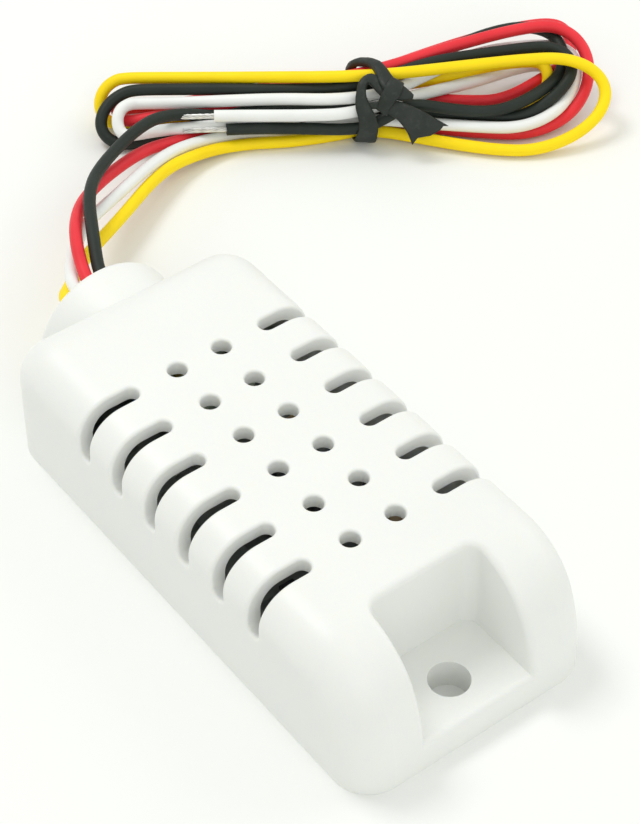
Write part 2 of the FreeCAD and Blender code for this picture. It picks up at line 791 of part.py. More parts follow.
os.makedirs("parts", exist_ok=True)
save("top_shell", make_top_shell())
save("back_cover", make_back_cover())
save("circuit_board", make_circuit_board())
save("microcontroller", make_microcontroller())
save("microcontroller_legs", make_microcontroller_legs())
save("voltage_regulator", make_voltage_regulator())
save("voltage_regulator_legs", make_regulator_legs())
save("ceramic_capacitors", make_chips(capacitor_size, capacitor_places))
save("chip_resistors", make_chips(resistor_size, resistor_places))
save("humidity_element", make_humidity_element())
save("sensing_electrodes", make_sensing_electrodes())
save("humidity_element_legs", make_humidity_element_legs())
save("thermistor", make_thermistor())
save("thermistor_legs", make_thermistor_legs())
save("solder_joints", make_solder_joints())
save("strain_relief_glue", make_strain_relief_glue())
for wire in wire_names:
    save("inner_wire_" + wire, make_inner_wire(wire))
    save("lead_" + wire, make_lead(wire))
    save("hank_" + wire, make_hank(wire))
    save("tinned_end_" + wire, make_tinned_end(wire))
save("twist_tie", make_twist_tie())
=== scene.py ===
import json
import math

import bmesh
import bpy
import numpy as np
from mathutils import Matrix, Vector


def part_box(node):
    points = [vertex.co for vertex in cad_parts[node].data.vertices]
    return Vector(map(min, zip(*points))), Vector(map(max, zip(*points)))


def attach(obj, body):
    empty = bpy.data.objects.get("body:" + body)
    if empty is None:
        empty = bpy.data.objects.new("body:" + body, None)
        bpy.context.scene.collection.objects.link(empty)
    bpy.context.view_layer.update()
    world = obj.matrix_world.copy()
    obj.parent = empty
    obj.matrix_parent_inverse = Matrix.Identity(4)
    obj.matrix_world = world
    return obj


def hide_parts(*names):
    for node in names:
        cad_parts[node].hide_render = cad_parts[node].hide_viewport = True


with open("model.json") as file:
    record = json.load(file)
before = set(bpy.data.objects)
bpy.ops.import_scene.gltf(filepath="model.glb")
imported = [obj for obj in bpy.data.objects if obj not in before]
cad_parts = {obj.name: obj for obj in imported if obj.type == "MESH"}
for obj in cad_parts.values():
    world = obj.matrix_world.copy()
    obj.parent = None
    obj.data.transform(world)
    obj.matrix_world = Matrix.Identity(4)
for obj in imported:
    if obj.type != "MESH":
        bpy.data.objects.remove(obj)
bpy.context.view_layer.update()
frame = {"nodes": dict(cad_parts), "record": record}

mm = 0.001


# Camera, table and light

photo = {
    "cameraPlace": (-90.93, -126.14, 175.83),  # mm
    "cameraBack": (-0.4224, -0.5561, 0.7158),  # the way from the object to the camera
    "focalPixels": 2461.3,
    "longSidePixels": 824,
    "sensor": 36.0,  # mm
    "nearest": 0.01,  # metres, as is the next
    "farthest": 5.0,
}


def makeCamera():
    data = bpy.data.cameras.new("photoCamera")
    camera = bpy.data.objects.new("photoCamera", data)
    bpy.context.scene.collection.objects.link(camera)
    camera.location = Vector(photo["cameraPlace"]) * mm
    back = Vector(photo["cameraBack"])
    camera.rotation_mode = "QUATERNION"
    camera.rotation_quaternion = (-back).to_track_quat("-Z", "Y")
    data.sensor_width = photo["sensor"]
    data.lens = photo["focalPixels"] * photo["sensor"] / photo["longSidePixels"]
    data.clip_start = photo["nearest"]
    data.clip_end = photo["farthest"]
    bpy.context.scene.camera = camera


room = {
    "floorHalf": 900.0,  # mm
    "floorColour": (0.87, 0.88, 0.865, 1.0),
    "floorRoughness": 0.55,
    "skyColour": (0.985, 1.0, 0.955, 1.0),
    "skyStrength": 0.76,
    "lamps": [
        # name, place in mm, size in mm, watts, colour
        ("keyLamp", (-50, 210, 390), 150.0, 0.61, (1.0, 0.995, 1.0)),
        ("frontLamp", (-100, -370, 250), 300.0, 0.33, (0.985, 1.0, 0.99)),
        ("sideLamp", (360, -60, 260), 260.0, 0.24, (1.0, 1.0, 1.0)),
    ],
    "aim": (10, 8, 4),  # mm, where the lamps point
}


def makeFloor():
    half = room["floorHalf"] * mm
    mesh = bpy.data.meshes.new("floor")
    mesh.from_pydata([(-half, -half, 0), (half, -half, 0), (half, half, 0), (-half, half, 0)],
                     [], [(0, 1, 2, 3)])
    floor = bpy.data.objects.new("floor", mesh)
    bpy.context.scene.collection.objects.link(floor)
    paint = bpy.data.materials.new("paleTable")
    paint.use_nodes = True
    shader = paint.node_tree.nodes["Principled BSDF"]
    shader.inputs["Base Color"].default_value = room["floorColour"]
    shader.inputs["Roughness"].default_value = room["floorRoughness"]
    mesh.materials.append(paint)


def makeSky():
    sky = bpy.data.worlds.new("studio")
    bpy.context.scene.world = sky
    sky.use_nodes = True
    background = sky.node_tree.nodes["Background"]
    background.inputs["Color"].default_value = room["skyColour"]
    background.inputs["Strength"].default_value = room["skyStrength"]


def makeLamp(name, place, size, watts, colour):
    data = bpy.data.lights.new(name, "AREA")
    data.size = size * mm
    data.energy = watts
    data.color = colour
    lamp = bpy.data.objects.new(name, data)
    bpy.context.scene.collection.objects.link(lamp)
    lamp.location = Vector(place) * mm
    lamp.rotation_mode = "QUATERNION"
    aim = Vector(room["aim"]) * mm
    lamp.rotation_quaternion = (aim - lamp.location).to_track_quat("-Z", "Y")


makeCamera()
makeFloor()
makeSky()
for lampValues in room["lamps"]:
    makeLamp(*lampValues)
bpy.context.scene.view_settings.view_transform = "Standard"
print("camera, table and light made")


# Node maths: a socket that carries the tree it belongs to

class Signal:
    def __init__(self, owner, socket):
        self.owner = owner
        self.socket = socket

    def output(self, label):
        return Signal(self.owner, self.socket.node.outputs[label])

    def maths(self, operation, other=0.0):
        return self.owner.maths(operation, self, other)

    def __add__(self, other):
        return self.owner.maths("ADD", self, other)

    def __radd__(self, other):
        return self.owner.maths("ADD", other, self)

    def __sub__(self, other):
        return self.owner.maths("SUBTRACT", self, other)

    def __rsub__(self, other):
        return self.owner.maths("SUBTRACT", other, self)

    def __mul__(self, other):
        return self.owner.maths("MULTIPLY", self, other)

    def __rmul__(self, other):
        return self.owner.maths("MULTIPLY", other, self)

    def __truediv__(self, other):
        return self.owner.maths("DIVIDE", self, other)

    def __rtruediv__(self, other):
        return self.owner.maths("DIVIDE", other, self)

    def __pow__(self, other):
        return self.owner.maths("POWER", self, other)


class Tree:
    # Short ways to add nodes to one node tree
    def add(self, kind, settings=None, sockets=None, output=0):
        node = self.tree.nodes.new(kind)
        for key, value in (settings or {}).items():
            setattr(node, key, value)
        for key, value in (sockets or {}).items():
            self.put(node.inputs[key], value)
        return Signal(self, node.outputs[output])

    def put(self, socket, value):
        if isinstance(value, Signal):
            self.tree.links.new(value.socket, socket)
        else:
            socket.default_value = value

    def maths(self, operation, first, second):
        return self.add("ShaderNodeMath", {"operation": operation}, {0: first, 1: second})


class Finish(Tree):
    # One material; fixed values are the same all over it, and fed ones change over it
    def __init__(self, name, **fixed):
        self.material = bpy.data.materials.new(name)
        self.material.use_nodes = True
        self.tree = self.material.node_tree
        self.shader = self.tree.nodes["Principled BSDF"]
        self.feed(**fixed)

    def feed(self, **values):
        for label, value in values.items():
            self.put(self.shader.inputs[label.replace("_", " ")], value)

    def place(self):
        return self.add("ShaderNodeTexCoord").output("Object")

    def noise(self, size, detail):
        return self.add("ShaderNodeTexNoise", None,
                        {"Vector": self.place(), "Scale": 1.0 / (size * mm), "Detail": detail})

    def between(self, signal, low, high, fromLow=0.3, fromHigh=0.7):
        # The span from 0.3 to 0.7 holds nearly all of a noise
        return self.add("ShaderNodeMapRange", {"clamp": True},
                        {0: signal, 1: fromLow, 2: fromHigh, 3: low, 4: high})

    def blend(self, factor, first, second):
        # 6, 7 and 2 are the Mix node's sockets for colours
        return self.add("ShaderNodeMix", {"data_type": "RGBA"}, {0: factor, 6: first, 7: second},
                        output=2)

    def bump(self, height, depth=1.0):
        # The height is in mm, or a share of the depth
        return self.add("ShaderNodeBump", None, {"Height": height, "Distance": depth * mm})


def rgb(red, green, blue):
    return (red, green, blue, 1.0)


# Finishes: a noise is its size in mm and its detail, and depths are in mm

casingLook = {
    "colour": rgb(0.838, 0.847, 0.825),
    "shade": rgb(0.808, 0.819, 0.795),
    "shadeNoise": (14.0, 2.0),
    "shadeShare": 0.6,
    "grainNoise": (0.22, 2.0),
    "grainDepth": 0.006,
    "rippleNoise": (9.0, 1.0),
    "rippleDepth": 0.03,
    "roughness": (0.40, 0.50),
    "glow": 0.35,  # light that passes into the plastic
    "glowDepth": (1.4, 1.3, 0.9),
}


def casingFinish():
    look = casingLook
    finish = Finish("mattCasing", Subsurface_Weight=look["glow"],
                    Subsurface_Radius=[depth * mm for depth in look["glowDepth"]])
    shade = finish.between(finish.noise(*look["shadeNoise"]), 0.0, look["shadeShare"])
    grain = finish.noise(*look["grainNoise"])
    ripple = finish.noise(*look["rippleNoise"])
    finish.feed(Base_Color=finish.blend(shade, look["colour"], look["shade"]),
                Roughness=finish.between(grain, *look["roughness"]),
                Normal=finish.bump(grain * look["grainDepth"] + ripple * look["rippleDepth"]))
    return finish.material


boardLook = {
    "mask": rgb(0.076, 0.086, 0.080),
    "trace": rgb(0.130, 0.143, 0.134),
    "cellSize": 2.42,  # mm, each cell is a patch of mask with traces round it
    "cellRandomness": 0.6,
    "traceSpan": (0.30, 0.36),  # distance from a cell's middle over which the trace begins
    "traceDepth": 0.035,
    "fineNoise": (0.3, 2.0),
    "fineDepth": 0.003,
    "roughness": (0.28, 0.40),
    "coat": 0.4,
    "coatRoughness": 0.15,
}


def boardFinish():
    look = boardLook
    finish = Finish("solderMask", Coat_Roughness=look["coatRoughness"], Coat_Weight=look["coat"])
    flat = finish.add("ShaderNodeMapping", None, {"Vector": finish.place(), "Scale": (1.0, 1.0, 0.0)})
    cells = finish.add("ShaderNodeTexVoronoi", {"distance": "CHEBYCHEV", "feature": "F1"},
                       {"Vector": flat, "Scale": 1.0 / (look["cellSize"] * mm),
                        "Randomness": look["cellRandomness"]})
    trace = finish.between(cells, 0.0, 1.0, *look["traceSpan"])
    fine = finish.noise(*look["fineNoise"])
    finish.feed(Base_Color=finish.blend(trace, look["mask"], look["trace"]),
                Roughness=finish.between(fine, *look["roughness"]),
                Normal=finish.bump(trace * look["traceDepth"] + fine * look["fineDepth"]))
    return finish.material


chipLooks = {
    # colour, roughness, size and depth of the grain in mm
    "epoxyPackage": (rgb(0.020, 0.020, 0.022), 0.55, 0.12, 0.006),
    "tanCeramic": (rgb(0.42, 0.29, 0.17), 0.50, 0.12, 0.006),
    "resistorGlass": (rgb(0.022, 0.022, 0.028), 0.30, 0.12, 0.006),
    "greenishCeramic": (rgb(0.46, 0.54, 0.43), 0.45, 0.12, 0.006),
    "dippedBead": (rgb(0.020, 0.045, 0.020), 0.22, 0.5, 0.02),
}

anyChip = {
    "grainDetail": 3.0,
    "toneNoise": (0.9, 2.0),
    "toneShare": 0.8,
    "lighterFactor": 1.5,
    "lighterBy": 0.01,
    "roughnessSpan": 0.06,
}


def chipFinish(name):
    colour, roughness, grainSize, grainDepth = chipLooks[name]
    finish = Finish(name)
    grain = finish.noise(grainSize, anyChip["grainDetail"])
    tone = finish.between(finish.noise(*anyChip["toneNoise"]), 0.0, anyChip["toneShare"])
    lighter = rgb(*[min(1.0, c * anyChip["lighterFactor"] + anyChip["lighterBy"])
                    for c in colour[:3]])
    span = anyChip["roughnessSpan"]
    finish.feed(Base_Color=finish.blend(tone, colour, lighter),
                Roughness=finish.between(grain, roughness - span, roughness + span),
                Normal=finish.bump(grain, grainDepth))
    return finish.material


metalLooks = {
    # colour, roughness, size of the grain in mm
    "tinnedLeg": (rgb(0.80, 0.80, 0.78), 0.36, 0.15),
    "goldFilm": (rgb(0.90, 0.66, 0.28), 0.30, 0.08),
    "solderFillet": (rgb(0.86, 0.86, 0.85), 0.22, 0.4),
}

anyMetal = {
    "grainDetail": 3.0,
    "grainDepth": 0.01,
    "toneNoise": (0.8, 2.0),
    "dullFactor": 0.72,
    "smoother": 0.08,
    "rougher": 0.10,
}


def metalFinish(name):
    colour, roughness, grainSize = metalLooks[name]
    finish = Finish(name, Metallic=1.0)
    grain = finish.noise(grainSize, anyMetal["grainDetail"])
    tone = finish.between(finish.noise(*anyMetal["toneNoise"]), 0.0, 1.0)
    dull = rgb(*[c * anyMetal["dullFactor"] for c in colour[:3]])
    finish.feed(Base_Color=finish.blend(tone, colour, dull),
                Roughness=finish.between(grain, roughness - anyMetal["smoother"],
                                         roughness + anyMetal["rougher"]),
                Normal=finish.bump(grain, anyMetal["grainDepth"]))
    return finish.material


glueLook = {
    "colour": rgb(0.80, 0.79, 0.70),
    "cloud": rgb(0.88, 0.88, 0.82),
    "cloudNoise": (0.9, 3.0),
    "cloudDepth": 0.05,
    "roughness": (0.18, 0.34),
    "coat": 0.3,
    "coatRoughness": 0.1,
    "glow": 0.15,  # light that passes into the glue
    "glowDepth": (2.0, 2.0, 1.5),
}


def glueFinish():
    look = glueLook
    finish = Finish("cloudyGlue", Coat_Roughness=look["coatRoughness"], Coat_Weight=look["coat"],
                    Subsurface_Weight=look["glow"],
                    Subsurface_Radius=[depth * mm for depth in look["glowDepth"]])
    cloud = finish.noise(*look["cloudNoise"])
    finish.feed(Base_Color=finish.blend(finish.between(cloud, 0.0, 1.0), look["colour"],
                                        look["cloud"]),
                Roughness=finish.between(cloud, *look["roughness"]),
                Normal=finish.bump(cloud, look["cloudDepth"]))
    return finish.material


wireLooks = {
    # colour, deeper colour in the noise's hollows, roughness
    "yellow": (rgb(1.0, 0.75, 0.0), rgb(0.94, 0.66, 0.0), 0.56),
    "white": (rgb(0.86, 0.875, 0.86), rgb(0.80, 0.81, 0.79), 0.45),
    "red": (rgb(0.84, 0.035, 0.05), rgb(0.70, 0.022, 0.035), 0.48),
    "black": (rgb(0.017, 0.025, 0.020), rgb(0.011, 0.016, 0.013), 0.52),
}

anyWire = {
    "specular": 0.30,
    "toneNoise": (4.0, 2.0),
    "toneShare": 0.7,
    "grainNoise": (0.16, 2.0),
    "grainDepth": 0.006,
    "drawnNoise": (1.6, 1.0),  # the slight waves of a drawn cover
    "drawnDepth": 0.03,
    "roughnessSpan": 0.07,
}


def wireFinish(name):
    colour, deeper, roughness = wireLooks[name]
    look = anyWire
    finish = Finish("wireCover_" + name, Specular_IOR_Level=look["specular"])
    tone = finish.between(finish.noise(*look["toneNoise"]), 0.0, look["toneShare"])
    grain = finish.noise(*look["grainNoise"])
    drawn = finish.noise(*look["drawnNoise"])
    span = look["roughnessSpan"]
    finish.feed(Base_Color=finish.blend(tone, colour, deeper),
                Roughness=finish.between(grain, roughness - span, roughness + span),
                Normal=finish.bump(grain * look["grainDepth"] + drawn * look["drawnDepth"]))
    return finish.material


tieLook = {
    "colour": rgb(0.007, 0.012, 0.008),
    "scuff": rgb(0.022, 0.029, 0.023),
    "scuffNoise": (0.6, 4.0),
    "scuffSpan": (0.55, 0.75),  # part of the noise over which the scuffs fade in
    "grainNoise": (0.25, 3.0),
    "grainDepth": 0.012,
    "crumpleNoise": (1.3, 2.0),
    "crumpleDepth": 0.12,
    "roughness": (0.48, 0.66),
}


def tieFinish():
    look = tieLook
    finish = Finish("tieStrip")
    grain = finish.noise(*look["grainNoise"])
    crumple = finish.noise(*look["crumpleNoise"])
    scuffs = finish.between(finish.noise(*look["scuffNoise"]), 0.0, 1.0, *look["scuffSpan"])
    finish.feed(Base_Color=finish.blend(scuffs, look["colour"], look["scuff"]),
                Roughness=finish.between(crumple, *look["roughness"]),
                Normal=finish.bump(grain * look["grainDepth"] + crumple * look["crumpleDepth"]))
    return finish.material


finishes = {
    "casing": casingFinish(),
    "board": boardFinish(),
    "chip_plastic": chipFinish("epoxyPackage"),
    "tinned_metal": metalFinish("tinnedLeg"),
    "capacitor_ceramic": chipFinish("tanCeramic"),
    "resistor_film": chipFinish("resistorGlass"),
    "element_ceramic": chipFinish("greenishCeramic"),
    "electrode_gold": metalFinish("goldFilm"),
    "thermistor_glaze": chipFinish("dippedBead"),
    "solder": metalFinish("solderFillet"),
    "glue": glueFinish(),
    "wire_yellow": wireFinish("yellow"),
    "wire_white": wireFinish("white"),
    "wire_red": wireFinish("red"),
    "wire_black": wireFinish("black"),
    "tie_plastic": tieFinish(),
}
print("finishes made:", len(finishes))


# The CAD pieces that show as they are take their finish, and new pieces take theirs

def dress(node, slotName):
    mesh = frame["nodes"][node].data
    mesh.materials.clear()
    mesh.materials.append(finishes[slotName])


for part in frame["record"]["subparts"]:
    dress(part["node"], part["material_slot"])
print("pieces dressed:", len(frame["nodes"]))


def pieceFrom(name, data):
    piece = bpy.data.objects.new(name, data)
    bpy.context.scene.collection.objects.link(piece)
    return piece


def finishPiece(piece, slotName, *nodes):
    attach(piece, "root")
    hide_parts(*nodes)


# The four wires: free leads, then the hank beside the casing

cable = {
    "diameter": 1.35,  # mm, as are the lengths below
    "pitch": 1.5,
    "firstX": -3.0,
    "exitZ": 8.3,
    "names": ["yellow", "white", "red", "black"],
    "loopParts": 8,  # points on each half turn
    "climbParts": 4,  # points on each climb between waist and loop
    "climbEase": 1.3,  # 1 is straight, more curves into the loop
    "curveSteps": 6,  # rings between two points
    "roundness": 5,
    "apart": 1.39,  # least distance to aim at between two wires' middles
    "floorGap": 0.05,
    "settleSteps": 160,
    "settleSpots": 4,  # spots on each run that are kept apart
    "settleRate": 2,  # how much more a point moves than its spots ask for
    "ownRuns": 4,  # runs along the same wire that may be nearer
    "crossing": 0.35,  # sine of the angle from which two runs count as crossing
    "leadEase": 3,  # points over which a lead gives way where it joins the hank
}

hank = {
    "centre": (43.87, 42.53),  # mm, the waist's place on the floor
    "direction": (0.82097, -0.57098),  # the way along it, from the leads to the large loops
}

# Seats along, across and above the hank; the two ends of a loop also have its stretch
hankSeats = {
    "yellow": [
        (-9.3, -1.6, 0.8), (-0.1, -0.9, 1.1), (16.1, -5.4, 0.8, 1.55), (19.9, 3.4, 6.8, 1.55),
        (-0.1, 0.5, 6.7), (-26.8, 4.6, 4.6, 1.1), (-27.5, 1.5, 0.8, 1.1), (0.0, 1.7, 1.0),
        (16.7, 2.6, 0.9, 0.9), (19.0, 5.6, 4.6, 0.9), (0.1, 3.0, 3.8), (-13.1, 2.1, 2.0),
    ],
    "white": [
        (-14.3, -0.7, 0.9), (-0.1, -0.8, 2.5), (14.8, -3.1, 2.3, 1.0), (19.6, 9.4, 4.2, 1.0),
        (-0.2, -1.4, 5.6), (-25.0, 1.0, 3.4, 1.1), (-25.7, -3.1, 2.2, 1.1), (0.0, 1.6, 2.4),
        (16.1, -1.2, 0.8, 1.0), (19.5, 7.8, 3.2, 1.0), (-0.3, -2.9, 4.3), (-17.1, -2.2, 4.3),
    ],
    "red": [
        (-17.1, -0.1, 0.9), (0.0, 0.4, 1.2), (15.6, -2.3, 0.9, 1.1), (19.6, 9.2, 6.8, 1.1),
        (0.0, 2.1, 6.1), (-26.0, 4.0, 0.8, 1.0), (-25.8, -0.1, 2.8, 1.0), (0.1, 3.8, 2.4),
        (13.4, 1.8, 2.2, 1.0), (20.6, 13.3, 4.2, 1.0), (0.2, 4.5, 4.2), (-13.0, 4.4, 2.4),
    ],
    "black": [
        (-15.9, -0.8, 2.4), (-0.1, 0.2, 3.2), (15.3, -1.5, 2.6, 1.3), (18.8, 6.4, 6.1, 1.3),
        (-0.1, 0.5, 5.4), (-25.3, 2.7, 4.4, 1.15), (-26.8, -2.4, 0.8, 1.15), (-17.6, 0.6, 0.8),
        (0.1, 1.6, 4.1), (16.7, 11.5, 5.0, 1.1), (13.0, -2.0, 3.6, 1.1), (4.6, -1.5, 4.9),
        (-1.0, -2.9, 2.4), (-15.7, -2.5, 2.8),
    ],
}

leadPoints = {
    "yellow": [(-0.1, 35.4, 5.9), (4.6, 39.9, 4.3), (10.8, 42.9, 3.8), (19.5, 47.9, 2.8),
               (25.8, 49.4, 1.3), (30.8, 48.8, 0.8)],
    "white": [(1.2, 37.2, 7.1), (5.6, 41.6, 6.7), (10.9, 44.7, 5.1), (19.6, 48.9, 3.6),
              (25.7, 51.2, 1.6)],
    "red": [(2.2, 37.6, 9.1), (5.9, 43.1, 7.7), (11.2, 47.4, 5.7), (19.0, 50.9, 4.0),
            (24.6, 52.5, 2.3)],
    "black": [(4.5, 37.8, 9.1), (7.5, 43.3, 8.9), (12.0, 47.9, 7.4), (20.4, 52.3, 6.2),
              (25.3, 53.3, 4.4)],
}
leadFirstRun = {"yellow": 2.2, "white": 2.6, "red": 2.0, "black": 2.3}
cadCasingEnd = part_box("top_shell")[1].y / mm


def hankPoint(seat):
    # A place given along, across and above the hank, in the part's own directions
    ux, uy = hank["direction"]
    return Vector((hank["centre"][0] + seat[0] * ux - seat[1] * uy,
                   hank["centre"][1] + seat[0] * uy + seat[1] * ux, seat[2]))


def hankWay(way):
    # The same for a direction
    return hankPoint(way) - hankPoint((0, 0, 0))


def climbPoints(a, b):
    # From waist to loop or back, ending along the hank where it meets the loop
    a, b = Vector(a), Vector(b)
    isOutward = abs(a.x) < abs(b.x)
    points = []
    for i in range(cable["climbParts"]):
        t = (i + 0.5) / cable["climbParts"]
        eased = 1 - (1 - t) ** cable["climbEase"] if isOutward else t ** cable["climbEase"]
        points.append(Vector((a.x + (b.x - a.x) * t, a.y + (b.y - a.y) * eased,
                              a.z + (b.z - a.z) * eased)))
    return points


def loopPoints(a, b, stretch):
    # Half turn from a to b that bulges away from the waist: the corners of a
    # straight-sided line that hugs it from outside
    a, b = Vector(a), Vector(b)
    centre = (a + b) / 2
    start = a - centre
    sideways = Vector((math.copysign(math.hypot(start.y, start.z) * stretch, a.x), 0, 0))
    step = math.pi / cable["loopParts"]
    outside = 1.0 / math.cos(step / 2)
    turns = [(i + 0.5) * step for i in range(cable["loopParts"])]
    return [centre + (start * math.cos(t) + sideways * math.sin(t)) * outside for t in turns]


def wirePoints(name):
    seats = hankSeats[name]
    x = cable["firstX"] + cable["names"].index(name) * cable["pitch"]
    exitPlace = Vector((x, cadCasingEnd, cable["exitZ"]))
    points = [exitPlace, exitPlace + Vector((0, leadFirstRun[name], 0))]
    points += [Vector(p) for p in leadPoints[name]]
    inHank = [Vector(seats[0])]
    for a, b in zip(seats, seats[1:]):
        isLoop = len(a) == 4 and len(b) == 4
        inHank += loopPoints(a[:3], b[:3], a[3]) if isLoop else climbPoints(a[:3], b[:3])
    inHank.append(Vector(seats[-1]))
    return points + [hankPoint(p) for p in inHank]


def leadCount(name):
    # How many of a wire's points come before the hank, with the two of its first run
    return len(leadPoints[name]) + 2


# Settling: the wires in the hank push each other aside until none lies in another

def pointShares(count, steps):
    # How much each point counts at each spot of the smooth line that they pull on; the
    # line starts and stops at its end points, so they count twice as much
    rows = []
    for i in range(1, count - 1):
        for t in np.arange(steps) / steps:
            first = 1.0 if i == 1 else 0.5
            last = 1.0 if i + 2 == count else 0.5
            row = np.zeros(count)
            row[i - 1] = (1 - t) ** 2 * first
            row[i + 1] = t ** 2 * last
            row[i] = 1 - row[i - 1] - row[i + 1]
            rows.append(row)
    return np.array(rows)


def unitRows(rows):
    tiny = 1e-9  # keeps a row of zeros from a division by zero
    return rows / np.maximum(np.linalg.norm(rows, axis=1, keepdims=True), tiny)


def sameStretch(shares):
    # True for two spots that are near along one wire
    longest = 10000  # more spots than any wire has
    order = np.concatenate([np.arange(len(share)) + longest * k for k, share in enumerate(shares)])
    return np.abs(order[:, None] - order[None, :]) < cable["ownRuns"] * cable["settleSpots"]


def spotPushes(lines, own):
    # How far each spot is pushed by the spots of other runs that are too near; where two
    # runs cross, one is pushed over the other
    spots = np.vstack(lines)
    ways = np.vstack([unitRows(np.gradient(line, axis=0)) for line in lines])
    square = (spots ** 2).sum(1)
    gaps = square[:, None] + square[None, :] - 2 * spots @ spots.T
    first, second = np.nonzero(np.triu((gaps < cable["apart"] ** 2) & ~own, 1))
    between = spots[first] - spots[second]
    normal = np.cross(ways[first], ways[second])
    isCrossing = np.linalg.norm(normal, axis=1) > cable["crossing"]
    normal = unitRows(normal)
    across = normal * (normal * between).sum(1, keepdims=True)
    between = np.where(isCrossing[:, None], across, between)
    lacking = np.maximum(cable["apart"] - np.linalg.norm(between, axis=1, keepdims=True), 0)
    push = unitRows(between) * lacking / 2
    pushes = np.zeros_like(spots)
    hits = np.zeros((len(spots), 1))
    for spot, sign in ((first, 1), (second, -1)):
        np.add.at(pushes, spot, sign * push)
        np.add.at(hits, spot, 1.0)
    return pushes / np.maximum(hits, 1)


def settleWires(routes, leadCounts):
    places = [np.array([tuple(point) for point in route]) for route in routes]
    shares = [pointShares(len(place), cable["settleSpots"]) for place in places]
    ends = np.cumsum([len(share) for share in shares])[:-1]
    own = sameStretch(shares)
    ease = cable["leadEase"]
    frees = [np.clip((np.arange(len(place)) - count + ease) / ease, 0, 1)[:, None]
             for place, count in zip(places, leadCounts)]
    floor = cable["diameter"] / 2 + cable["floorGap"]
    for _ in range(cable["settleSteps"]):
        pushes = spotPushes([share @ place for share, place in zip(shares, places)], own)
        for place, share, free, wirePushes in zip(places, shares, frees, np.split(pushes, ends)):
            move = share.T @ wirePushes / share.sum(0)[:, None] * cable["settleRate"]
            move[1:-1] = move[1:-1] / 2 + (move[:-2] + move[2:]) / 4
            place += move * free
            place[:, 2] = np.maximum(place[:, 2], floor)
    spots = np.vstack([share @ place for share, place in zip(shares, places)])
    gaps = np.linalg.norm(spots[:, None] - spots[None, :], axis=2)[~own]
    print("wires settled, nearest middles %.2f mm apart" % gaps.min())
    return [[Vector(point) for point in place] for place in places]


def wireCurve(name, points):
    data = bpy.data.curves.new(name, "CURVE")
    data.dimensions = "3D"
    data.resolution_u = cable["curveSteps"]
    data.bevel_depth = cable["diameter"] / 2 * mm
    data.bevel_resolution = cable["roundness"]
    data.use_fill_caps = True
    spline = data.splines.new("NURBS")
    spline.points.add(len(points) - 1)
    for spot, point in zip(spline.points, points):
        spot.co = (*(point * mm), 1.0)
    spline.order_u = 3
    spline.use_endpoint_u = True
    return data


def curveLength(data):
    bare = data.copy()
    bare.bevel_depth = 0.0
    holder = pieceFrom("measure", bare)
    mesh = bpy.data.meshes.new_from_object(holder)
    spots = [v.co for v in mesh.vertices]
    length = sum((p - q).length for p, q in zip(spots, spots[1:]))
    bpy.data.objects.remove(holder)
    bpy.data.meshes.remove(mesh)
    return length


# Geometry node plans: each grows a plain mesh from a line of points

class Plan(Tree):
    def __init__(self, name, kinds):
        self.tree = bpy.data.node_groups.new(name, "GeometryNodeTree")
        face = self.tree.interface
        face.new_socket("Geometry", in_out="OUTPUT", socket_type="NodeSocketGeometry")
        face.new_socket("Geometry", in_out="INPUT", socket_type="NodeSocketGeometry")
        self.sockets = {label: face.new_socket(label, in_out="INPUT", socket_type="NodeSocket" + kind)
                        for label, kind in kinds.items()}
        self.entry = self.tree.nodes.new("NodeGroupInput")

    def given(self, label):
        return Signal(self, self.entry.outputs[label])

    def vector(self, operation, first, second=(0.0, 0.0, 0.0)):
        return self.add("ShaderNodeVectorMath", {"operation": operation}, {0: first, 1: second})

    def scaled(self, vector, factor):
        return self.add("ShaderNodeVectorMath", {"operation": "SCALE"}, {0: vector, "Scale": factor})

    def limited(self, value):
        return self.add("ShaderNodeClamp", None, {0: value})

    def squarer(self, wave):
        # A sine or cosine pushed towards 1 and -1, for a section between an oval and a strip
        return wave.maths("ABSOLUTE") ** self.given("Squareness") * wave.maths("SIGN")

    def named(self, label, kind):
        return self.add("GeometryNodeInputNamedAttribute", {"data_type": kind}, {"Name": label})

    def line(self, steps):
        # The given points as one smooth curve, cut into equal steps
        curve = self.add("GeometryNodeMeshToCurve", None, {0: self.given("Geometry")})
        smooth = self.add("GeometryNodeCurveSplineType", {"spline_type": "CATMULL_ROM"}, {0: curve})
        return self.add("GeometryNodeResampleCurve", {"mode": "COUNT"},
                        {"Curve": smooth, "Count": steps})

    def sampled(self, line, kind, value, along):
        return self.add("GeometryNodeSampleCurve", {"mode": "FACTOR", "data_type": kind},
                        {"Curves": line, "Value": value, "Factor": along})

    def end(self, geometry, slotName):
        smooth = self.add("GeometryNodeSetShadeSmooth", None, {"Geometry": geometry})
        whole = self.add("GeometryNodeRealizeInstances", None, {0: smooth})
        painted = self.add("GeometryNodeSetMaterial", None,
                           {"Geometry": whole, "Material": finishes[slotName]})
        outlet = self.tree.nodes.new("NodeGroupOutput")
        self.tree.links.new(painted.socket, outlet.inputs[0])

    def grow(self, points, values, **along):
        # along gives a value of each kind for each point
        seed = bpy.data.meshes.new("seed")
        edges = [(i, i + 1) for i in range(len(points) - 1)]
        seed.from_pydata([Vector(p) * mm for p in points], edges, [])
        for label, series in along.items():
            isNumber = isinstance(series[0], float)
            layer = seed.attributes.new(label, "FLOAT" if isNumber else "FLOAT_VECTOR", "POINT")
            for spot, value in zip(layer.data, series):
                setattr(spot, "value" if isNumber else "vector", value)
        holder = pieceFrom("holder", seed)
        modifier = holder.modifiers.new("plan", "NODES")
        modifier.node_group = self.tree
        for label, value in values.items():
            modifier[self.sockets[label].identifier] = value
        graph = bpy.context.evaluated_depsgraph_get()
        mesh = bpy.data.meshes.new_from_object(holder.evaluated_get(graph))
        bpy.data.objects.remove(holder)
        bpy.data.meshes.remove(seed)
        return mesh


